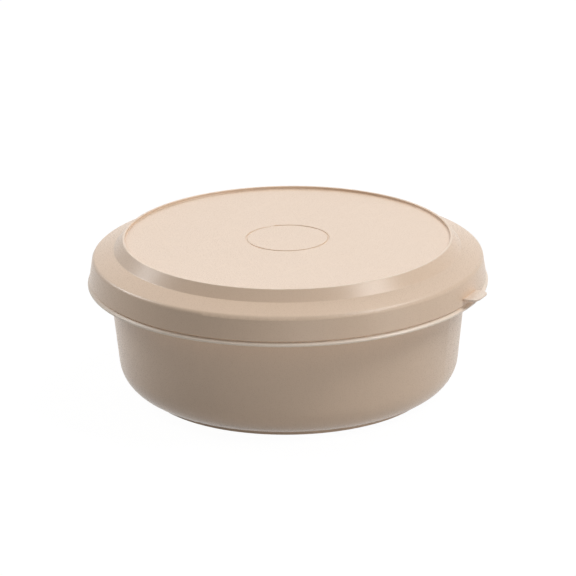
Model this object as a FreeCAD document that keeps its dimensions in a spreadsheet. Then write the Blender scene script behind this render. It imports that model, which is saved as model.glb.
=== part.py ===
# A round keeper for warm flat bread: a moulded bowl, and the lid that closes over its rim.
# Millimetres, +Z up. The origin is the centre of the foot ring, on the surface that the bowl
# stands on. The lid's pull tab is on +X.
import FreeCAD, Part
import math
import os

import Sketcher

# Each row is a size's name, its value and what it measures. Angles are in degrees.
SIZES = [
    ("foot_height", 2.0, "foot ring, below the bowl's floor"),
    ("foot_width", 2.8, "foot ring, across"),
    ("foot_setout", 3.5, "foot ring's outer face, beyond the start of the bottom curve"),
    ("foot_round", 0.5, "foot ring's lower edges"),
    ("floor_thickness", 2.2, "bowl's floor"),
    ("bowl_wall", 2.0, "bowl's wall, across"),
    ("bowl_radius", 111.04, "bowl's outer face, where it meets the top of the flange"),
    ("wall_lean", 5.85, "bowl's wall, out from upright"),
    ("bottom_round", 20.0, "outer curve from floor to wall"),
    ("flange_height", 71.6, "top of the flange, which the lid stands on"),
    ("flange_margin", 0.9, "flange's edge, beyond the foot of the lid's skirt"),
    ("flange_fall", 1.45, "top of the flange's edge, below the top of the flange"),
    ("flange_slope", 2.3, "sloping outer part of the flange, across"),
    ("flange_slope_round", 0.8, "upper end of that slope, above and below"),
    ("flange_thickness", 1.4, "flange"),
    ("flange_edge_round", 0.35, "flange's outer edges"),
    ("flange_cove", 3.5, "curve from the wall to the underside of the flange"),
    ("rim_draft", 1.0, "each face of the rim above the flange, from upright"),
    ("rim_round", 0.6, "rim's top edges"),
    ("rim_root_round", 1.0, "curve from the top of the flange to the rim"),
    ("rim_headroom", 0.6, "gap between the rim's top and the lid"),
    ("lid_wall", 1.9, "lid's skin, square to its faces"),
    ("skirt_height", 14.85, "shoulder corner, above the flange"),
    ("skirt_draft", 8.8, "skirt, out from upright"),
    ("skirt_round", 1.0, "skirt's lower outer edge"),
    ("lip_width", 7.0, "turned-in lower edge of the skirt, across"),
    ("lip_round", 0.4, "edges of the turned-in lip"),
    ("shoulder_setout", 10.06, "corner of the shoulder and the skirt, beyond the bowl's outer face"),
    ("shoulder_round", 3.0, "that corner's rounding"),
    ("shoulder_angle", 19.9, "shoulder, down from level"),
    ("step_inset", 3.34, "corner of the step and the shoulder, inside the bowl's outer face"),
    ("step_round", 1.2, "that corner's rounding"),
    ("step_angle", 50.2, "step, down from level"),
    ("step_run", 5.5, "step, across, from that corner in to the bead round the top panel"),
    ("crown_width", 1.4, "bead, across its top"),
    ("crown_round", 0.4, "bead's edges"),
    ("panel_depth", 1.6, "top panel, below the bead"),
    ("ring_radius", 25.4, "fine groove round the middle of the panel"),
    ("ring_groove", 0.65, "that groove's depth and half width"),
    ("rib_wall", 1.5, "sealing ribs under the lid, at their tips"),
    ("rib_clearance", 0.35, "between each rib and the bowl's rim"),
    ("plug_depth", 9.0, "inner rib, below the rim's top"),
    ("seal_depth", 5.0, "outer rib, below the rim's top"),
    ("rib_round", 0.5, "ribs' lower edges"),
    ("tab_gap", 3.8, "under the pull tab, above the flange"),
    ("tab_thickness", 1.2, "pull tab"),
    ("tab_width", 19.6, "pull tab, across"),
    ("tab_overhang", 8.5, "pull tab's tip, beyond the foot of the skirt"),
    ("tab_corner", 5.5, "pull tab's outer corners, seen from above"),
    ("tab_edge_round", 0.4, "pull tab's upper and lower edges"),
    ("gate_radius", 4.0, "shallow well round the moulding point under each piece"),
    ("gate_depth", 0.4, "that well"),
    ("gate_stub_radius", 1.1, "stub left in the well"),
]

# How far, in millimetres, two places may be apart and still count as one.
LEVEL = 0.01

# Heights and radii that follow from the sizes, as expressions over the sheet.
FLOOR_TOP = "(Sizes.foot_height + Sizes.floor_thickness)"
FLANGE_EDGE_TOP = "(Sizes.flange_height - Sizes.flange_fall)"
FLANGE_EDGE_FOOT = f"({FLANGE_EDGE_TOP} - Sizes.flange_thickness)"
FLANGE_UNDERSIDE = "(Sizes.flange_height - Sizes.flange_thickness)"
CORNER_RADIUS = "(Sizes.bowl_radius - (Sizes.flange_height - Sizes.foot_height) * tan(Sizes.wall_lean))"
FOOT_RADIUS = f"({CORNER_RADIUS} - Sizes.bottom_round / tan(45 + Sizes.wall_lean / 2) + Sizes.foot_setout)"
SHOULDER_HEIGHT = "(Sizes.flange_height + Sizes.skirt_height)"
SHOULDER_RADIUS = "(Sizes.bowl_radius + Sizes.shoulder_setout)"
SKIRT_ANGLE = "(90 - Sizes.skirt_draft)"
SKIRT_FOOT = f"({SHOULDER_RADIUS} + Sizes.skirt_height * tan(Sizes.skirt_draft))"
FLANGE_RADIUS = f"({SKIRT_FOOT} + Sizes.flange_margin)"
STEP_RADIUS = "(Sizes.bowl_radius - Sizes.step_inset)"
STEP_FOOT = f"({SHOULDER_HEIGHT} + (Sizes.shoulder_setout + Sizes.step_inset) * tan(Sizes.shoulder_angle))"
CROWN_RADIUS = f"({STEP_RADIUS} - Sizes.step_run)"
CROWN_TOP = f"({STEP_FOOT} + Sizes.step_run * tan(Sizes.step_angle))"
PANEL_TOP = f"({CROWN_TOP} - Sizes.panel_depth)"
PANEL_UNDERSIDE = f"({PANEL_TOP} - Sizes.lid_wall)"
TAB_UNDERSIDE = "(Sizes.flange_height + Sizes.tab_gap)"
TAB_REACH = f"({SKIRT_FOOT} + Sizes.tab_overhang)"


def wall_radius(height):
    """The outer radius of the bowl's wall at a height."""
    return f"(Sizes.bowl_radius - (Sizes.flange_height - {height}) * tan(Sizes.wall_lean))"


def skirt_radius(height):
    """The outer radius of the lid's skirt at a height."""
    return f"({SHOULDER_RADIUS} + ({SHOULDER_HEIGHT} - {height}) * tan(Sizes.skirt_draft))"


def shoulder_height(radius, depth):
    """The height of the shoulder at a radius, a depth into the lid's skin."""
    return (f"({STEP_FOOT} - ({radius} - {STEP_RADIUS}) * tan(Sizes.shoulder_angle)"
            f" - {depth} / cos(Sizes.shoulder_angle))")


def rim_face(height, side):
    """The radius of the rim's inner (side -1) or outer (side 1) face at a height.

    Both faces start at the wall's own faces and lean towards each other as they rise.
    """
    start = "Sizes.bowl_radius" if side > 0 else "(Sizes.bowl_radius - Sizes.bowl_wall)"
    return f"({start} - {side} * ({height} - Sizes.flange_height) * tan(Sizes.rim_draft))"


RIM_TOP = f"({shoulder_height('Sizes.bowl_radius', 'Sizes.lid_wall')} - Sizes.rim_headroom)"


def inside_corner(across, up, first_angle, second_angle):
    """A corner of the lid's inner face: the outer corner moved in by the skin's thickness.

    The angles are those of the two sides that meet there, down from level.
    """
    mean = f"(({first_angle} + {second_angle}) / 2)"
    half_turn = f"(({second_angle} - {first_angle}) / 2)"
    return (f"{across} - Sizes.lid_wall * sin({mean}) / cos({half_turn})",
            f"{up} - Sizes.lid_wall * cos({mean}) / cos({half_turn})")


def make_sheet(doc):
    """Add the sheet of sizes: name, value and meaning in columns A, B and C."""
    sheet = doc.addObject("Spreadsheet::Sheet", "Sizes")
    for row, (name, value, meaning) in enumerate(SIZES, start=1):
        sheet.set(f"A{row}", name)
        sheet.set(f"B{row}", str(value))
        sheet.setAlias(f"B{row}", name)
        sheet.set(f"C{row}", meaning)
    doc.recompute()


def make_body(doc, label):
    """Add an empty body with its own label and placement."""
    body = doc.addObject("PartDesign::Body", label)
    body.Label = label
    body.Placement = FreeCAD.Placement()
    return body


def worth(owner, expression):
    """The value of an expression over the sheet, as a plain number."""
    return float(owner.evalExpression(expression))


def add_sketch(body, name, plane_role):
    """Add a sketch to a body, on the origin plane with the given role."""
    plane = next(item for item in body.Origin.OriginFeatures if item.Role == plane_role)
    sketch = body.newObject("Sketcher::SketchObject", name)
    sketch.AttachmentSupport = (plane, "")
    sketch.MapMode = "FlatFace"
    return sketch


def bind(sketch, kind, *place_and_expression):
    """Add a constraint whose value is an expression over the sheet."""
    *place, expression = place_and_expression
    index = sketch.addConstraint(Sketcher.Constraint(kind, *place, worth(sketch, expression)))
    sketch.setExpression(f"Constraints[{index}]", expression)


def pin(sketch, shape, end, across, up):
    """Hold a point of the sketch at a place, on an axis where its expression is 0."""
    if across == "0":
        sketch.addConstraint(Sketcher.Constraint("PointOnObject", shape, end, -2))
    else:
        bind(sketch, "DistanceX", -1, 1, shape, end, across)
    if up == "0":
        sketch.addConstraint(Sketcher.Constraint("PointOnObject", shape, end, -1))
    else:
        bind(sketch, "DistanceY", -1, 1, shape, end, up)


def round_off(before, corner, after, radius):
    """Where a rounding of a corner starts and ends, its centre, and whether it turns left."""
    arriving = (corner - before).normalize()
    leaving = (after - corner).normalize()
    left_turn = arriving.cross(leaving).z > 0
    setback = radius * math.tan(arriving.getAngle(leaving) / 2)
    start = corner - arriving * setback
    end = corner + leaving * setback
    to_centre = FreeCAD.Vector(-arriving.y, arriving.x, 0) * (radius if left_turn else -radius)
    return start, end, start + to_centre, left_turn


def outline(body, name, corners):
    """Add a closed sketch on the body's upright plane through (across, up, rounding) corners.

    Each value is an expression over the sheet, and a sharp corner has no rounding. A rounded
    corner is an arc tangent to both sides, and the corner itself stays as a point on both.
    """
    sketch = add_sketch(body, name, "XZ_Plane")
    places = [FreeCAD.Vector(worth(sketch, across), worth(sketch, up), 0) for across, up, _ in corners]
    count = len(corners)
    starts, ends, arcs = [], [], []
    for i, (_, _, rounding) in enumerate(corners):
        if rounding is None:
            starts.append(places[i])
            ends.append(places[i])
            arcs.append(None)
            continue
        radius = worth(sketch, rounding)
        start, end, centre, left_turn = round_off(places[i - 1], places[i], places[(i + 1) % count], radius)
        first, last = (start, end) if left_turn else (end, start)
        angles = [math.atan2(point.y - centre.y, point.x - centre.x) for point in (first, last)]
        starts.append(start)
        ends.append(end)
        arcs.append((Part.ArcOfCircle(Part.Circle(centre, FreeCAD.Vector(0, 0, 1), radius), *angles), left_turn))
    sides = [sketch.addGeometry(Part.LineSegment(ends[i], starts[(i + 1) % count])) for i in range(count)]
    for i, (across, up, rounding) in enumerate(corners):
        arriving, leaving = sides[i - 1], sides[i]
        if arcs[i] is None:
            sketch.addConstraint(Sketcher.Constraint("Coincident", arriving, 2, leaving, 1))
            pin(sketch, leaving, 1, across, up)
            continue
        curve, left_turn = arcs[i]
        arc = sketch.addGeometry(curve)
        point = sketch.addGeometry(Part.Point(places[i]), True)
        sketch.addConstraint([
            Sketcher.Constraint("Tangent", arriving, 2, arc, 1 if left_turn else 2),
            Sketcher.Constraint("Tangent", leaving, 1, arc, 2 if left_turn else 1),
            Sketcher.Constraint("PointOnObject", point, 1, arriving),
            Sketcher.Constraint("PointOnObject", point, 1, leaving),
        ])
        bind(sketch, "Radius", arc, rounding)
        pin(sketch, point, 1, across, up)
    return sketch


def turn(body, sketch, name, kind="PartDesign::Revolution"):
    """Turn a sketch right round the upright axis, to add to the body or to cut from it."""
    volume_before = 0 if body.Shape.isNull() else body.Shape.Volume
    feature = body.newObject(kind, name)
    feature.Profile = sketch
    feature.ReferenceAxis = (sketch, ["V_Axis"])
    feature.Angle = 360
    body.Document.recompute()
    gained = body.Shape.Volume - volume_before
    if (gained < 0) != (kind == "PartDesign::Groove"):
        raise RuntimeError(f"{name} changed the volume by {gained:.3f} mm3")
    return feature


def gate_mark(body, underside):
    """Sink a shallow well in an underside round a stub, where the plastic entered the mould."""
    well_top = f"({underside} + Sizes.gate_depth)"
    well = outline(body, body.Label.capitalize() + "GateSection", [
        ("Sizes.gate_stub_radius", underside, None),
        ("Sizes.gate_radius", underside, None),
        ("Sizes.gate_radius - Sizes.gate_depth", well_top, None),
        ("Sizes.gate_stub_radius", well_top, None),
    ])
    turn(body, well, body.Label.capitalize() + "GateMark", "PartDesign::Groove")


def make_bowl(doc):
    """The bowl: floor, foot ring, leaning wall, flange, and the rim that the lid closes over."""
    body = make_body(doc, "bowl")
    shell = outline(body, "BowlSection", [
        ("0", "Sizes.foot_height", None),
        (CORNER_RADIUS, "Sizes.foot_height", "Sizes.bottom_round"),
        (wall_radius(FLANGE_UNDERSIDE), FLANGE_UNDERSIDE, "Sizes.flange_cove"),
        (f"{FLANGE_RADIUS} - Sizes.flange_slope", FLANGE_UNDERSIDE, "Sizes.flange_slope_round"),
        (FLANGE_RADIUS, FLANGE_EDGE_FOOT, "Sizes.flange_edge_round"),
        (FLANGE_RADIUS, FLANGE_EDGE_TOP, "Sizes.flange_edge_round"),
        (f"{FLANGE_RADIUS} - Sizes.flange_slope", "Sizes.flange_height", "Sizes.flange_slope_round"),
        ("Sizes.bowl_radius", "Sizes.flange_height", "Sizes.rim_root_round"),
        (rim_face(RIM_TOP, 1), RIM_TOP, "Sizes.rim_round"),
        (rim_face(RIM_TOP, -1), RIM_TOP, "Sizes.rim_round"),
        ("Sizes.bowl_radius - Sizes.bowl_wall", "Sizes.flange_height", None),
        (f"{wall_radius(FLOOR_TOP)} - Sizes.bowl_wall", FLOOR_TOP, "Sizes.bottom_round - Sizes.bowl_wall"),
        ("0", FLOOR_TOP, None),
    ])
    turn(body, shell, "BowlShell")
    foot_top = "Sizes.foot_height + Sizes.floor_thickness / 2"
    foot = outline(body, "FootSection", [
        (f"{FOOT_RADIUS} - Sizes.foot_width", "0", "Sizes.foot_round"),
        (FOOT_RADIUS, "0", "Sizes.foot_round"),
        (FOOT_RADIUS, foot_top, None),
        (f"{FOOT_RADIUS} - Sizes.foot_width", foot_top, None),
    ])
    turn(body, foot, "FootRing")
    gate_mark(body, "Sizes.foot_height")
    return body


def add_rib(body, name, side, depth):
    """Add a sealing rib under the lid's shoulder, reaching a depth below the bowl's rim.

    Side is -1 for the rib inside the rim and 1 for the one outside it. The face beside the rim
    is parallel to the rim's own face.
    """
    tip_height = f"({RIM_TOP} - {depth})"
    near_tip = f"({rim_face(tip_height, side)} + {side} * Sizes.rib_clearance)"
    near_root = f"({rim_face(STEP_FOOT, side)} + {side} * Sizes.rib_clearance)"
    far = f"({near_tip} + {side} * Sizes.rib_wall)"
    corners = [
        (near_tip, tip_height, "Sizes.rib_round"),
        (far, tip_height, "Sizes.rib_round"),
        (far, shoulder_height(far, "Sizes.lid_wall / 2"), None),
        (near_root, shoulder_height(near_root, "Sizes.lid_wall / 2"), None),
    ]
    turn(body, outline(body, name + "Section", corners), name)


def add_lid_shell(body):
    """Turn the lid's skin: recessed panel, bead, step, shoulder, skirt and turned-in lip."""
    lip_top = "(Sizes.flange_height + Sizes.lid_wall)"
    panel_edge = f"({CROWN_RADIUS} - Sizes.crown_width)"
    under_step = (f"({CROWN_RADIUS} + ({CROWN_TOP} - {PANEL_UNDERSIDE}"
                  " - Sizes.lid_wall / cos(Sizes.step_angle)) / tan(Sizes.step_angle))")
    lip_edge = f"({SKIRT_FOOT} - Sizes.lip_width)"
    section = outline(body, "LidSection", [
        ("0", PANEL_UNDERSIDE, None),
        (under_step, PANEL_UNDERSIDE, None),
        (*inside_corner(STEP_RADIUS, STEP_FOOT, "Sizes.step_angle", "Sizes.shoulder_angle"), None),
        (*inside_corner(SHOULDER_RADIUS, SHOULDER_HEIGHT, "Sizes.shoulder_angle", SKIRT_ANGLE),
         "Sizes.shoulder_round - Sizes.lid_wall"),
        (f"{skirt_radius(lip_top)} - Sizes.lid_wall / cos(Sizes.skirt_draft)", lip_top, "Sizes.lip_round"),
        (lip_edge, lip_top, "Sizes.lip_round"),
        (lip_edge, "Sizes.flange_height", "Sizes.lip_round"),
        (SKIRT_FOOT, "Sizes.flange_height", "Sizes.skirt_round"),
        (SHOULDER_RADIUS, SHOULDER_HEIGHT, "Sizes.shoulder_round"),
        (STEP_RADIUS, STEP_FOOT, "Sizes.step_round"),
        (CROWN_RADIUS, CROWN_TOP, "Sizes.crown_round"),
        (panel_edge, CROWN_TOP, "Sizes.crown_round"),
        (panel_edge, PANEL_TOP, "Sizes.crown_round"),
        ("0", PANEL_TOP, None),
    ])
    turn(body, section, "LidShell")


def cut_panel_ring(body):
    """Cut the fine ring in the middle of the top panel, half of a round section deep."""
    sketch = add_sketch(body, "RingSection", "XZ_Plane")
    centre = FreeCAD.Vector(worth(sketch, "Sizes.ring_radius"), worth(sketch, PANEL_TOP), 0)
    circle = Part.Circle(centre, FreeCAD.Vector(0, 0, 1), worth(sketch, "Sizes.ring_groove"))
    shape = sketch.addGeometry(circle)
    pin(sketch, shape, 3, "Sizes.ring_radius", PANEL_TOP)
    bind(sketch, "Radius", shape, "Sizes.ring_groove")
    turn(body, sketch, "PanelRing", "PartDesign::Groove")


def add_tab(body):
    """Add the pull tab: a level tongue from inside the skirt's skin to a tip with round corners."""
    sketch = add_sketch(body, "TabPlan", "XY_Plane")
    sketch.setExpression("AttachmentOffset.Base.z", TAB_UNDERSIDE)
    root_radius = f"({skirt_radius(TAB_UNDERSIDE)} - Sizes.lid_wall / 2)"
    half_width = worth(sketch, "Sizes.tab_width / 2")
    root = worth(sketch, root_radius)
    tip = worth(sketch, TAB_REACH)
    corner = worth(sketch, "Sizes.tab_corner")
    up = FreeCAD.Vector(0, 0, 1)
    origin = FreeCAD.Vector()
    corner_swing = math.asin((half_width - corner) / (tip - corner))
    corner_across = (tip - corner) * math.cos(corner_swing)
    root_swing = math.asin(half_width / root)
    root_across = root * math.cos(root_swing)
    corners = [FreeCAD.Vector(corner_across, side * (half_width - corner), 0) for side in (-1, 1)]
    near_side = Part.LineSegment(FreeCAD.Vector(root_across, -half_width, 0),
                                 FreeCAD.Vector(corner_across, -half_width, 0))
    far_side = Part.LineSegment(FreeCAD.Vector(corner_across, half_width, 0),
                                FreeCAD.Vector(root_across, half_width, 0))
    quarter = math.pi / 2
    near, near_corner, tip_arc, far_corner, far, root_arc = [sketch.addGeometry(shape) for shape in (
        near_side,
        Part.ArcOfCircle(Part.Circle(corners[0], up, corner), -quarter, -corner_swing),
        Part.ArcOfCircle(Part.Circle(origin, up, tip), -corner_swing, corner_swing),
        Part.ArcOfCircle(Part.Circle(corners[1], up, corner), corner_swing, quarter),
        far_side,
        Part.ArcOfCircle(Part.Circle(origin, up, root), -root_swing, root_swing),
    )]
    sketch.addConstraint([
        Sketcher.Constraint("Coincident", tip_arc, 3, -1, 1),
        Sketcher.Constraint("Coincident", root_arc, 3, -1, 1),
        Sketcher.Constraint("Horizontal", near),
        Sketcher.Constraint("Horizontal", far),
        Sketcher.Constraint("Coincident", root_arc, 1, near, 1),
        Sketcher.Constraint("Coincident", root_arc, 2, far, 2),
        Sketcher.Constraint("Tangent", near, 2, near_corner, 1),
        Sketcher.Constraint("Tangent", near_corner, 2, tip_arc, 1),
        Sketcher.Constraint("Tangent", tip_arc, 2, far_corner, 1),
        Sketcher.Constraint("Tangent", far_corner, 2, far, 1),
        Sketcher.Constraint("Equal", near_corner, far_corner),
    ])
    bind(sketch, "Radius", tip_arc, TAB_REACH)
    bind(sketch, "Radius", root_arc, root_radius)
    bind(sketch, "Radius", near_corner, "Sizes.tab_corner")
    bind(sketch, "DistanceY", near, 1, -1, 1, "Sizes.tab_width / 2")
    bind(sketch, "DistanceY", -1, 1, far, 2, "Sizes.tab_width / 2")
    pad = body.newObject("PartDesign::Pad", "PullTab")
    pad.Profile = sketch
    pad.setExpression("Length", "Sizes.tab_thickness")
    body.Document.recompute()
    outer_edges = [f"Edge{i}" for i, edge in enumerate(pad.Shape.Edges, start=1)
                   if edge.BoundBox.ZLength < LEVEL and edge.BoundBox.XMax > root + LEVEL]
    rounding = body.newObject("PartDesign::Fillet", "TabRounding")
    rounding.Base = (pad, outer_edges)
    rounding.setExpression("Radius", "Sizes.tab_edge_round")
    body.Document.recompute()


def make_lid(doc):
    """The lid: pull tab, skin, and the two ribs that hold the bowl's rim between them."""
    body = make_body(doc, "lid")
    add_tab(body)
    add_lid_shell(body)
    add_rib(body, "PlugRib", -1, "Sizes.plug_depth")
    add_rib(body, "SealRib", 1, "Sizes.seal_depth")
    cut_panel_ring(body)
    gate_mark(body, PANEL_UNDERSIDE)
    return body


def main():
    """Build the document, check every object in it, and write one file for each piece."""
    doc = FreeCAD.newDocument("FlatBreadKeeper")
    make_sheet(doc)
    bodies = [make_bowl(doc), make_lid(doc)]
    doc.recompute()
    failed = [item.Name for item in doc.Objects if {"Invalid", "Error"} & set(item.State)]
    loose = [item.Name for item in doc.Objects
             if item.isDerivedFrom("Sketcher::SketchObject") and not item.FullyConstrained]
    unsound = [body.Label for body in bodies
               if body.Shape.isNull() or not body.Shape.isValid() or len(body.Shape.Solids) != 1]
    if failed or loose or unsound:
        raise RuntimeError(f"failed: {failed}, not fully constrained: {loose}, unsound: {unsound}")
    os.makedirs("parts", exist_ok=True)
    for body in bodies:
        box = body.Shape.optimalBoundingBox(False)
        print(f"{body.Label}: {body.Shape.Volume / 1000:.1f} cm3,"
              f" {box.XLength:.2f} x {box.YLength:.2f} x {box.ZLength:.2f} mm, top at {box.ZMax:.2f}")
        body.Shape.exportStep(f"parts/{body.Label}.step")


main()
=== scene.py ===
"""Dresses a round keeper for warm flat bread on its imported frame.

The frame holds the two mouldings, a bowl and the lid that closes over its rim, at their real size.
This script gives both their satin moulded plastic, stands them on a plain pale floor in soft light,
and places the camera. Lengths are in metres and angles in degrees unless a name says otherwise.
"""

import logging
import math
from dataclasses import dataclass, field
from enum import Enum

import bpy
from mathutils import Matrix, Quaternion, Vector


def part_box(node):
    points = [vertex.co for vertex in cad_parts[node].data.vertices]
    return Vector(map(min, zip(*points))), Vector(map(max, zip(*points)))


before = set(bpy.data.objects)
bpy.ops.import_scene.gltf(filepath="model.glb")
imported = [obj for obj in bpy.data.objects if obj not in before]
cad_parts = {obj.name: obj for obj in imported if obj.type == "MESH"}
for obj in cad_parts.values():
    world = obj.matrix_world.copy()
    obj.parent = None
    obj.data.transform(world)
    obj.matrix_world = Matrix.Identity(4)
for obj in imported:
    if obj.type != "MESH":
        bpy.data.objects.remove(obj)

LOG = logging.getLogger("keeper")
MILLIMETRE = 0.001

Colour = tuple[float, float, float]
Socket = bpy.types.NodeSocket
Source = Socket | float | Vector | tuple[float, ...]


def towards(azimuth: float, elevation: float) -> Vector:
    """The direction from the keeper towards a place round it.

    Args:
        azimuth: angle round the upright axis from -Y, anticlockwise seen from above.
        elevation: angle above level.

    Returns:
        A vector of length 1.
    """
    turn, rise = math.radians(azimuth), math.radians(elevation)
    return Vector((math.sin(turn) * math.cos(rise), -math.cos(turn) * math.cos(rise), math.sin(rise)))


class Kind(Enum):
    """The kinds of socket that the shared effects have."""

    NUMBER = "NodeSocketFloat"
    COLOUR = "NodeSocketColor"


class Effect(Enum):
    """The surface effects that both mouldings share, each a shader node group."""

    GRAIN = "moulded_grain"
    FLOW = "flow_marks"
    RUBS = "rub_marks"
    CONTACT = "contact_wear"
    # Painted light: thin outer edges made paler as if lit.
    PAINTED_LIGHT = "handling_wear"


class NodeSheet:
    """A node tree under construction, with short calls for what the effects and finishes need."""

    # A Mix node has sockets of the same name for each kind of value, so those for colours go by number.
    MIX_SHARE, MIX_FIRST, MIX_SECOND, MIX_RESULT = 0, 6, 7, 2

    def __init__(self, tree: bpy.types.NodeTree) -> None:
        """Start on a tree, emptied first."""
        self.tree = tree
        tree.nodes.clear()

    def add(self, kind: str, label: str, **settings: object) -> bpy.types.Node:
        """Add a node.

        Args:
            kind: the node's type name.
            label: what it is for, in a maker's words.
            settings: properties of the node to set.

        Returns:
            The new node.
        """
        node = self.tree.nodes.new(kind)
        node.label = label
        for name, value in settings.items():
            setattr(node, name, value)
        return node

    def feed(self, socket: Socket, source: Source) -> None:
        """Link a socket from another one, or set its own value.

        Args:
            socket: the input to feed.
            source: the output to link it from, or the value to set.
        """
        if isinstance(source, Socket):
            self.tree.links.new(source, socket)
        else:
            socket.default_value = source

    def feed_all(self, node: bpy.types.Node, sources: tuple[Source, ...]) -> None:
        """Feed a node's inputs, in the node's order."""
        for socket, source in zip(node.inputs, sources):
            self.feed(socket, source)

    def here(self) -> Socket:
        """The place on the piece, in metres."""
        return self.add("ShaderNodeTexCoord", "place on the piece").outputs["Object"]

    def sum(self, operation: str, label: str, *sources: Source, clamp: bool = False) -> Socket:
        """Add a Math node and return its result.

        Args:
            operation: the Math node's operation.
            label: what the result is.
            sources: sockets or numbers, in the node's order.
            clamp: whether the result is kept from 0 to 1.

        Returns:
            The node's output socket.
        """
        node = self.add("ShaderNodeMath", label, operation=operation, use_clamp=clamp)
        self.feed_all(node, sources)
        return node.outputs["Value"]

    def vector(self, operation: str, label: str, *sources: Source) -> bpy.types.Node:
        """Add a Vector Math node.

        Args:
            operation: the Vector Math node's operation.
            label: what the result is.
            sources: sockets or vectors, in the node's order.

        Returns:
            The node, whose first output is a vector and whose second one is a number.
        """
        node = self.add("ShaderNodeVectorMath", label, operation=operation)
        self.feed_all(node, sources)
        return node

    def ramp(self, label: str, value: Socket, low: float, high: float, at_low: float, at_high: float,
             smooth: bool = True) -> Socket:
        """Map a value's range onto another one, and return the result.

        Args:
            label: what the result is.
            value: the socket to map.
            low: the value that gives at_low.
            high: the value that gives at_high.
            at_low: the result at low, and below it.
            at_high: the result at high, and above it.
            smooth: whether the change eases in and out.

        Returns:
            The node's output socket.
        """
        way = "SMOOTHSTEP" if smooth else "LINEAR"
        node = self.add("ShaderNodeMapRange", label, interpolation_type=way)
        for name, source in (("Value", value), ("From Min", low), ("From Max", high),
                             ("To Min", at_low), ("To Max", at_high)):
            self.feed(node.inputs[name], source)
        return node.outputs["Result"]

    def noise(self, label: str, place: Socket, waves: Source, detail: float = 2.0) -> Socket:
        """Add a noise texture and return its value.

        Args:
            label: what the noise stands for.
            place: the socket of the place to read it at.
            waves: how many waves it has in one unit of that place, which is a metre on the piece itself.
            detail: how many finer layers it has.

        Returns:
            The noise's value, about 0.5 on average.
        """
        node = self.add("ShaderNodeTexNoise", label, noise_dimensions="3D")
        self.feed(node.inputs["Vector"], place)
        self.feed(node.inputs["Scale"], waves)
        node.inputs["Detail"].default_value = detail
        return node.outputs["Fac"]

    def stretch(self, label: str, place: Socket, times: Vector, turned: float) -> Socket:
        """Turn a place about the upright axis and stretch it, so that a texture read there runs in streaks.

        Args:
            label: what the streaks stand for.
            place: the socket of the place.
            times: how much longer the texture gets along each of the turned axes.
            turned: the angle to turn it by.

        Returns:
            The socket of the place to read the texture at.
        """
        node = self.add("ShaderNodeMapping", label, vector_type="TEXTURE")
        self.feed(node.inputs["Vector"], place)
        node.inputs["Rotation"].default_value = (0.0, 0.0, math.radians(turned))
        node.inputs["Scale"].default_value = times
        return node.outputs["Vector"]

    def blend(self, label: str, share: Source, first: Source, second: Source) -> Socket:
        """Mix two colours.

        Args:
            label: what the result is.
            share: how much of the second colour there is, from 0 to 1.
            first: the colour at 0.
            second: the colour at 1.

        Returns:
            The node's output socket.
        """
        node = self.add("ShaderNodeMix", label, data_type="RGBA")
        self.feed(node.inputs[self.MIX_SHARE], share)
        self.feed(node.inputs[self.MIX_FIRST], first)
        self.feed(node.inputs[self.MIX_SECOND], second)
        return node.outputs[self.MIX_RESULT]

    def mix_shaders(self, label: str, share: Source, first: Socket, second: Socket) -> Socket:
        """Mix two shaders.

        Args:
            label: what the result is.
            share: how much of the second shader there is, from 0 to 1.
            first: the shader at 0.
            second: the shader at 1.

        Returns:
            The node's output socket.
        """
        node = self.add("ShaderNodeMixShader", label)
        self.feed_all(node, (share, first, second))
        return node.outputs["Shader"]


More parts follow.
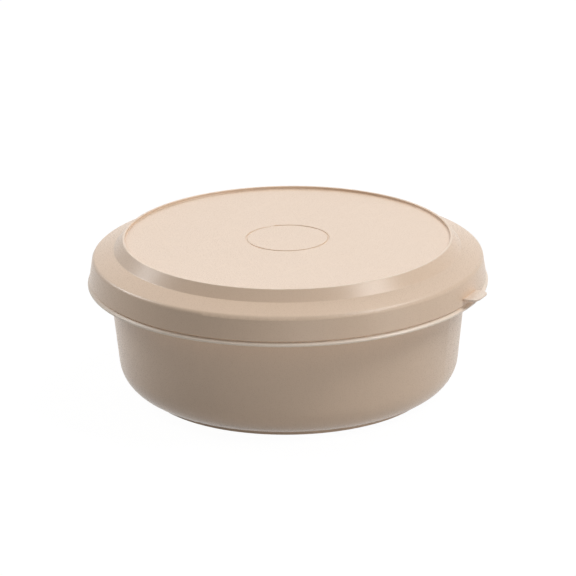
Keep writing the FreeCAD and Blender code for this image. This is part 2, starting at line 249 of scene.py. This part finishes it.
class EffectLibrary:
    """Builds each shared effect once, as a shader node group, and places it in materials.

    What ends in WAVES is the number of a noise's waves in a metre, before it is stretched. The streaks
    fan out round the middle, so theirs is about the number in a radian.
    """

    NOISE_MIDDLE = 0.5
    SEEN_FROM_ABOVE = (1.0, 1.0, 0.0)
    STREAK_WAVES = 14.0
    STREAK_DRIFT = (3.0, 3.0, 3.0)
    CLOUD_WAVES = 18.0
    HAIRLINE_WAVES = 900.0
    HAIRLINE_ANGLES = (18.0, 74.0, 131.0)
    HAIRLINE_STRETCH = Vector((24.0, 0.7, 5.0))
    PATCH_WAVES = 22.0
    CONTACT_WAVES = 420.0

    def __init__(self) -> None:
        """Build the groups."""
        self.groups = {
            Effect.GRAIN: self._grain(),
            Effect.FLOW: self._flow(),
            Effect.RUBS: self._rubs(),
            Effect.CONTACT: self._contact(),
            Effect.PAINTED_LIGHT: self._edge_light_paint(),
        }

    @staticmethod
    def _start(effect: Effect, takes: dict[str, Kind], gives: dict[str, Kind]) -> NodeSheet:
        """Make an empty group with named sockets.

        Args:
            effect: which effect the group is.
            takes: its inputs' names and kinds.
            gives: its outputs' names and kinds.

        Returns:
            The sheet to build the group on.
        """
        tree = bpy.data.node_groups.new(effect.value, "ShaderNodeTree")
        for direction, sockets in (("INPUT", takes), ("OUTPUT", gives)):
            for name, kind in sockets.items():
                tree.interface.new_socket(name=name, in_out=direction, socket_type=kind.value)
        return NodeSheet(tree)

    @staticmethod
    def _give_mask(sheet: NodeSheet, given: bpy.types.Node, mask: Socket) -> None:
        """Put a mask out of its group, as strong as the finish asks.

        Args:
            sheet: the group's sheet.
            given: the group's input node, which has an Amount.
            mask: the mask at full strength.
        """
        scaled = sheet.sum("MULTIPLY", "as much as asked", mask, given.outputs["Amount"], clamp=True)
        sheet.feed(sheet.add("NodeGroupOutput", "mask").inputs["Mask"], scaled)

    @staticmethod
    def _grain() -> bpy.types.NodeTree:
        """The fine pebbled skin that a spark-cut mould leaves on the plastic.

        Returns:
            The group.
        """
        sheet = EffectLibrary._start(
            Effect.GRAIN, {"Pitch": Kind.NUMBER, "Depth": Kind.NUMBER},
            {"Height": Kind.NUMBER, "Grain": Kind.NUMBER})
        given = sheet.add("NodeGroupInput", "what the finish asks for")
        waves = sheet.sum("DIVIDE", "waves in a metre", 1.0, given.outputs["Pitch"])
        pebbles = sheet.noise("pebbles", sheet.here(), waves, detail=1.5)
        level = sheet.ramp("pebble height", pebbles, low=0.3, high=0.7, at_low=0.0, at_high=1.0)
        height = sheet.sum("MULTIPLY", "height in metres", level, given.outputs["Depth"])
        result = sheet.add("NodeGroupOutput", "grain")
        sheet.feed(result.inputs["Height"], height)
        sheet.feed(result.inputs["Grain"], level)
        return sheet.tree

    @staticmethod
    def _flow() -> bpy.types.NodeTree:
        """Faint streaks and clouds in the colour, fanning out from where the plastic entered the mould.

        Returns:
            The group.
        """
        sheet = EffectLibrary._start(
            Effect.FLOW, {"Colour": Kind.COLOUR, "Streaks": Kind.NUMBER, "Clouds": Kind.NUMBER},
            {"Colour": Kind.COLOUR})
        given = sheet.add("NodeGroupInput", "what the finish asks for")
        place = sheet.here()
        level = sheet.vector("MULTIPLY", "place seen from above", place, EffectLibrary.SEEN_FROM_ABOVE)
        outward = sheet.vector("NORMALIZE", "way out from the middle", level.outputs["Vector"])
        drift = sheet.vector("MULTIPLY_ADD", "slow change along a streak", place, EffectLibrary.STREAK_DRIFT,
                             outward.outputs["Vector"])
        streaks = sheet.noise("streaks", drift.outputs["Vector"], EffectLibrary.STREAK_WAVES, detail=3.0)
        clouds = sheet.noise("clouds", place, EffectLibrary.CLOUD_WAVES, detail=1.0)
        streaks = sheet.sum("SUBTRACT", "streaks about 0", streaks, EffectLibrary.NOISE_MIDDLE)
        clouds = sheet.sum("SUBTRACT", "clouds about 0", clouds, EffectLibrary.NOISE_MIDDLE)
        streak_lift = sheet.sum("MULTIPLY", "streak lift", streaks, given.outputs["Streaks"])
        cloud_lift = sheet.sum("MULTIPLY", "cloud lift", clouds, given.outputs["Clouds"])
        lift = sheet.sum("ADD", "lift", streak_lift, cloud_lift)
        brightness = sheet.sum("ADD", "brightness", lift, 1.0)
        tinted = sheet.vector("SCALE", "colour at that brightness", given.outputs["Colour"])
        sheet.feed(tinted.inputs["Scale"], brightness)
        result = sheet.add("NodeGroupOutput", "flow marks")
        sheet.feed(result.inputs["Colour"], tinted.outputs["Vector"])
        return sheet.tree

    @staticmethod
    def _rubs() -> bpy.types.NodeTree:
        """Hairline rubs from washing and stacking, in three directions, patchy over the piece.

        Returns:
            The group.
        """
        sheet = EffectLibrary._start(Effect.RUBS, {"Amount": Kind.NUMBER}, {"Mask": Kind.NUMBER})
        given = sheet.add("NodeGroupInput", "what the finish asks for")
        place = sheet.here()
        marks = None
        for turned in EffectLibrary.HAIRLINE_ANGLES:
            along = sheet.stretch(f"hairlines at {turned:.0f} degrees", place, EffectLibrary.HAIRLINE_STRETCH,
                                  turned)
            hairlines = sheet.noise("hairlines", along, EffectLibrary.HAIRLINE_WAVES, detail=0.0)
            lines = sheet.ramp("the sharpest only", hairlines, low=0.68, high=0.78, at_low=0.0, at_high=1.0)
            marks = lines if marks is None else sheet.sum("MAXIMUM", "all hairlines", marks, lines)
        spread = sheet.noise("patches", place, EffectLibrary.PATCH_WAVES)
        patches = sheet.ramp("rubbed patches", spread, low=0.42, high=0.68, at_low=0.0, at_high=1.0)
        EffectLibrary._give_mask(sheet, given, sheet.sum("MULTIPLY", "hairlines in patches", marks, patches))
        return sheet.tree

    @staticmethod
    def _contact() -> bpy.types.NodeTree:
        """Scuffing on a band of heights, where the piece stands on something or something stands on it.

        Returns:
            The group.
        """
        sheet = EffectLibrary._start(
            Effect.CONTACT, {"Worn Height": Kind.NUMBER, "Fade": Kind.NUMBER, "Amount": Kind.NUMBER},
            {"Mask": Kind.NUMBER})
        given = sheet.add("NodeGroupInput", "what the finish asks for")
        place = sheet.here()
        height = sheet.add("ShaderNodeSeparateXYZ", "height on the piece")
        sheet.feed(height.inputs["Vector"], place)
        above = sheet.sum("SUBTRACT", "above the worn height", height.outputs["Z"],
                          given.outputs["Worn Height"])
        away = sheet.sum("ABSOLUTE", "distance from it", above)
        fades = sheet.sum("DIVIDE", "in fades", away, given.outputs["Fade"])
        near = sheet.sum("SUBTRACT", "nearness", 1.0, fades, clamp=True)
        touch = sheet.noise("contact", place, EffectLibrary.CONTACT_WAVES, detail=3.0)
        broken = sheet.ramp("uneven contact", touch, low=0.38, high=0.62, at_low=0.25, at_high=1.0)
        EffectLibrary._give_mask(sheet, given, sheet.sum("MULTIPLY", "worn", near, broken))
        return sheet.tree

    @staticmethod
    def _edge_light_paint() -> bpy.types.NodeTree:
        """Painted light: a paler colour past a distance from the upright axis, for the flange edge and pull
        tab.

        Returns:
            The group.
        """
        sheet = EffectLibrary._start(
            Effect.PAINTED_LIGHT, {"Reach": Kind.NUMBER, "Fade": Kind.NUMBER, "Amount": Kind.NUMBER},
            {"Mask": Kind.NUMBER})
        given = sheet.add("NodeGroupInput", "what the finish asks for")
        level = sheet.vector("MULTIPLY", "place seen from above", sheet.here(), EffectLibrary.SEEN_FROM_ABOVE)
        across = sheet.vector("LENGTH", "distance from the upright axis", level.outputs["Vector"])
        past = sheet.sum("SUBTRACT", "past the reach", across.outputs["Value"], given.outputs["Reach"])
        bent = sheet.sum("DIVIDE", "in fades", past, given.outputs["Fade"], clamp=True)
        EffectLibrary._give_mask(sheet, given, bent)
        return sheet.tree

    def place(self, sheet: NodeSheet, effect: Effect, **values: Source) -> bpy.types.Node:
        """Put an effect in a material.

        Args:
            sheet: the material's node sheet.
            effect: which effect.
            values: its inputs, by name, with _ for a space.

        Returns:
            The group's node.
        """
        node = sheet.add("ShaderNodeGroup", effect.value.replace("_", " "), node_tree=self.groups[effect])
        for name, source in values.items():
            sheet.feed(node.inputs[name.replace("_", " ")], source)
        return node


@dataclass(frozen=True)
class SatinPlastic:
    """The satin finish of one moulding."""

    name: str
    colour: Colour
    # The paler colour of real scuffs, also used as painted light on thin outer edges.
    scuff_and_painted_light_colour: Colour
    worn_height: float
    painted_light_reach: float
    roughness: float = 0.3
    rubbed_roughness: float = 0.16
    scuffed_roughness: float = 0.2
    grain_pitch: float = 0.55 * MILLIMETRE
    grain_depth: float = 0.003 * MILLIMETRE
    grain_gloss: float = 0.05
    streaks: float = 0.03
    clouds: float = 0.03
    rubs: float = 0.5
    scuffs: float = 0.6
    scuff_fade: float = 0.5 * MILLIMETRE
    # How strong and how soft the painted light on thin outer edges is.
    painted_light_amount: float = 0.9
    painted_light_fade: float = 0.6 * MILLIMETRE
    refraction: float = 1.5

    def make(self, effects: EffectLibrary) -> bpy.types.Material:
        """Build the material.

        Args:
            effects: the shared effects that it is made of.

        Returns:
            The material, ready to assign.
        """
        material = bpy.data.materials.new(self.name)
        material.use_nodes = True
        sheet = NodeSheet(material.node_tree)
        grain = effects.place(sheet, Effect.GRAIN, Pitch=self.grain_pitch, Depth=self.grain_depth)
        flow = effects.place(sheet, Effect.FLOW, Colour=(*self.colour, 1.0), Streaks=self.streaks,
                             Clouds=self.clouds)
        rubs = effects.place(sheet, Effect.RUBS, Amount=self.rubs)
        contact = effects.place(sheet, Effect.CONTACT, Worn_Height=self.worn_height, Fade=self.scuff_fade,
                                Amount=self.scuffs)
        # Painted light: the thin edge far from the upright axis is made paler as if lit.
        painted_light_amount = effects.place(sheet, Effect.PAINTED_LIGHT, Reach=self.painted_light_reach, Fade=self.painted_light_fade,
                                 Amount=self.painted_light_amount)
        # Real scuffs and painted light on thin edges share the paler colour.
        pale = sheet.sum("MAXIMUM", "scuffed or painted lighter", contact.outputs["Mask"], painted_light_amount.outputs["Mask"])
        skin = sheet.ramp("roughness of the skin", grain.outputs["Grain"], low=0.0, high=1.0,
                          at_low=self.roughness - self.grain_gloss, at_high=self.roughness + self.grain_gloss,
                          smooth=False)
        rubbed = sheet.sum("MULTIPLY_ADD", "rougher where rubbed", rubs.outputs["Mask"],
                           self.rubbed_roughness, skin)
        worn = sheet.sum("MULTIPLY_ADD", "rougher where scuffed", contact.outputs["Mask"],
                         self.scuffed_roughness, rubbed)
        colour = sheet.blend("paler where scuffed or painted lighter", pale, flow.outputs["Colour"],
                             (*self.scuff_and_painted_light_colour, 1.0))
        bump = sheet.add("ShaderNodeBump", "skin relief")
        bump.inputs["Strength"].default_value = 1.0
        bump.inputs["Distance"].default_value = 1.0
        sheet.feed(bump.inputs["Height"], grain.outputs["Height"])
        shader = sheet.add("ShaderNodeBsdfPrincipled", self.name.replace("_", " "))
        shader.inputs["IOR"].default_value = self.refraction
        sheet.feed(shader.inputs["Base Color"], colour)
        sheet.feed(shader.inputs["Roughness"], worn)
        sheet.feed(shader.inputs["Normal"], bump.outputs["Normal"])
        output = sheet.add("ShaderNodeOutputMaterial", "surface")
        sheet.feed(output.inputs["Surface"], shader.outputs["BSDF"])
        return material


@dataclass
class Moulding:
    """One of the keeper's two mouldings, whose solid is a node of the frame."""

    node: str
    colour: Colour
    # The paler colour of scuffs, also used as painted light on the thin edge.
    scuff_and_painted_light_colour: Colour
    low: Vector = field(init=False)
    high: Vector = field(init=False)

    def __post_init__(self) -> None:
        """Read the moulding's size and place from the frame."""
        self.low, self.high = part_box(self.node)

    def worn_height(self) -> float:
        """The height that touches a shelf, a table or another keeper."""
        raise NotImplementedError

    def painted_light_reach(self) -> float:
        """How far from the upright axis the painted light starts, which makes the thin edge paler as if lit.
        """
        raise NotImplementedError

    def finish(self) -> SatinPlastic:
        """The moulding's own finish."""
        return SatinPlastic(f"{self.node}_satin_plastic", self.colour, self.scuff_and_painted_light_colour,
                            self.worn_height(), self.painted_light_reach())

    def dress(self, effects: EffectLibrary) -> bpy.types.Object:
        """Give the moulding its finish.

        Args:
            effects: the shared effects.

        Returns:
            The moulding's object.
        """
        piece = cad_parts[self.node]
        material = self.finish().make(effects)
        for slot in piece.material_slots:
            slot.material = material
        return piece


@dataclass
class Bowl(Moulding):
    """The bowl: floor, foot ring, leaning wall, flange and rim."""

    node: str = "bowl"
    colour: Colour = (0.8, 0.61, 0.455)
    # Paler colour for scuffs on the foot ring and painted light on the flange's edge.
    scuff_and_painted_light_colour: Colour = (0.95, 0.82, 0.69)
    # How wide the painted light on the flange's edge is.
    painted_edge_width: float = 2.7 * MILLIMETRE

    def worn_height(self) -> float:
        """The foot ring's underside, which stands on the shelf."""
        return self.low.z

    def painted_light_reach(self) -> float:
        """The sloping edge of the flange, painted paler as if lit where the lid's skirt shades it."""
        return self.high.y - self.painted_edge_width


@dataclass
class Lid(Moulding):
    """The lid: recessed panel, bead, step, shoulder, skirt and pull tab."""

    node: str = "lid"
    colour: Colour = (0.82, 0.62, 0.46)
    # Paler colour for scuffs on the bead and painted light on the pull tab.
    scuff_and_painted_light_colour: Colour = (0.9, 0.75, 0.62)

    def worn_height(self) -> float:
        """The bead's top, which other things rub against."""
        return self.high.z

    def painted_light_reach(self) -> float:
        """The skirt's foot: past it the lid has only the pull tab, which is painted paler as if lit."""
        return self.high.y


@dataclass(frozen=True)
class Softbox:
    """A square lamp that faces the keeper."""

    name: str
    azimuth: float
    elevation: float
    power: float
    side: float = 1.2
    distance: float = 3.0

    def hang(self, aim: Vector) -> bpy.types.Object:
        """Add the lamp to the scene.

        Args:
            aim: the place that it faces.

        Returns:
            The lamp's object.
        """
        light = bpy.data.lights.new(self.name, "AREA")
        light.shape = "SQUARE"
        light.size = self.side
        light.energy = self.power
        lamp = bpy.data.objects.new(self.name, light)
        bpy.context.scene.collection.objects.link(lamp)
        direction = towards(self.azimuth, self.elevation)
        lamp.location = aim + direction * self.distance
        lamp.rotation_mode = "QUATERNION"
        lamp.rotation_quaternion = (-direction).to_track_quat("-Z", "Y")
        return lamp


@dataclass
class Studio:
    """Where the keeper stands: a plain pale floor, soft lamps, and white all round."""

    aim: Vector
    ambient: float = 0.04
    floor_side: float = 24.0
    floor_colour: Colour = (0.6, 0.6, 0.6)
    floor_whiteness: float = 0.9
    floor_glow: float = 1.08
    softboxes: tuple[Softbox, ...] = (
        Softbox("key_softbox", 98.9, 49.0, 26.0, side=0.9),
        Softbox("overhead_softbox", 25.9, 80.0, 7.0, side=1.6),
        Softbox("high_softbox", 145.9, 60.0, 22.0),
        Softbox("left_softbox", -94.1, 35.0, 30.0),
        Softbox("back_softbox", 205.9, 35.0, 11.0),
        Softbox("low_right_softbox", 85.9, 10.0, 11.0),
        Softbox("low_front_softbox", 35.9, 10.0, 5.5),
    )

    @staticmethod
    def _seen(sheet: NodeSheet) -> Socket:
        """1 for what the camera sees, directly, mirrored or through something clear, and 0 for light.

        Args:
            sheet: the sheet to put the nodes on.

        Returns:
            The socket that has it.
        """
        path = sheet.add("ShaderNodeLightPath", "what the ray is for")
        mirrored = sheet.sum("MAXIMUM", "seen or mirrored", path.outputs["Is Camera Ray"],
                             path.outputs["Is Glossy Ray"])
        return sheet.sum("MAXIMUM", "seen at all", mirrored, path.outputs["Is Transmission Ray"])

    def light_the_room(self) -> None:
        """Make the world white to look at, with a plain soft light of its own."""
        world = bpy.data.worlds.new("white_room")
        world.use_nodes = True
        sheet = NodeSheet(world.node_tree)
        surround = sheet.add("ShaderNodeBackground", "plain white")
        surround.inputs["Color"].default_value = (1.0, 1.0, 1.0, 1.0)
        strength = sheet.ramp("white to look at", self._seen(sheet), low=0.0, high=1.0, at_low=self.ambient,
                              at_high=1.0, smooth=False)
        sheet.feed(surround.inputs["Strength"], strength)
        output = sheet.add("ShaderNodeOutputWorld", "room")
        sheet.feed(output.inputs["Surface"], surround.outputs["Background"])
        bpy.context.scene.world = world

    def lay_the_floor(self) -> bpy.types.Object:
        """Lay the floor that the keeper stands on.

        Returns:
            The floor, which is white to look at but for the keeper's shadow, and clear from below.
        """
        half = self.floor_side / 2
        corners = [(-half, -half, 0.0), (half, -half, 0.0), (half, half, 0.0), (-half, half, 0.0)]
        mesh = bpy.data.meshes.new("floor")
        mesh.from_pydata(corners, [], [tuple(range(len(corners)))])
        floor = bpy.data.objects.new("floor", mesh)
        bpy.context.scene.collection.objects.link(floor)
        mesh.materials.append(self._floor_paint())
        return floor

    def _floor_paint(self) -> bpy.types.Material:
        """The floor's pale matt paint, nearly white of itself to whatever sees it.

        Returns:
            The material.
        """
        material = bpy.data.materials.new("pale_floor")
        material.use_nodes = True
        sheet = NodeSheet(material.node_tree)
        paint = sheet.add("ShaderNodeBsdfDiffuse", "pale paint")
        paint.inputs["Color"].default_value = (*self.floor_colour, 1.0)
        white = sheet.add("ShaderNodeEmission", "white")
        white.inputs["Strength"].default_value = self.floor_glow
        whiteness = sheet.sum("MULTIPLY", "share of white", self._seen(sheet), self.floor_whiteness)
        whitened = sheet.mix_shaders("white to look at", whiteness, paint.outputs["BSDF"],
                                     white.outputs["Emission"])
        side = sheet.add("ShaderNodeNewGeometry", "side")
        clear = sheet.add("ShaderNodeBsdfTransparent", "nothing")
        from_below = sheet.mix_shaders("clear from below", side.outputs["Backfacing"], whitened,
                                       clear.outputs["BSDF"])
        output = sheet.add("ShaderNodeOutputMaterial", "surface")
        sheet.feed(output.inputs["Surface"], from_below)
        return material

    def build(self) -> None:
        """Light the room, lay the floor and hang the lamps."""
        self.light_the_room()
        self.lay_the_floor()
        for softbox in self.softboxes:
            softbox.hang(self.aim)


@dataclass(frozen=True)
class Viewpoint:
    """The camera's place: turned and raised round the keeper, a little out of level.

    Its lens and sensor are in millimetres.
    """

    azimuth: float = 25.9
    elevation: float = 19.03
    distance: float = 2.4
    aim_height: float = 63.4 * MILLIMETRE
    tilt: float = 0.64
    lens: float = 241.0
    sensor: float = 36.0
    nearest: float = 0.024
    farthest: float = 48.0

    def place(self) -> bpy.types.Object:
        """Add the camera and make it the scene's.

        Returns:
            The camera's object.
        """
        data = bpy.data.cameras.new("viewpoint")
        data.lens = self.lens
        data.sensor_width = self.sensor
        data.clip_start = self.nearest
        data.clip_end = self.farthest
        camera = bpy.data.objects.new("viewpoint", data)
        bpy.context.scene.collection.objects.link(camera)
        direction = towards(self.azimuth, self.elevation)
        camera.location = Vector((0.0, 0.0, self.aim_height)) + direction * self.distance
        camera.rotation_mode = "QUATERNION"
        level = (-direction).to_track_quat("-Z", "Y")
        camera.rotation_quaternion = level @ Quaternion((0.0, 0.0, 1.0), -math.radians(self.tilt))
        bpy.context.scene.camera = camera
        return camera


def main() -> None:
    """Dress both mouldings, then set up the studio and the camera."""
    logging.basicConfig(level=logging.INFO, format="%(name)s: %(message)s")
    bpy.context.scene.view_settings.view_transform = "Standard"
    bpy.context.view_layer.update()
    effects = EffectLibrary()
    for moulding in (Bowl(), Lid()):
        piece = moulding.dress(effects)
        finish = piece.material_slots[0].material.name
        LOG.info("%s: %d faces in %s", piece.name, len(piece.data.polygons), finish)
    viewpoint = Viewpoint()
    Studio(aim=Vector((0.0, 0.0, viewpoint.aim_height))).build()
    viewpoint.place()


if __name__ == "__main__":
    main()
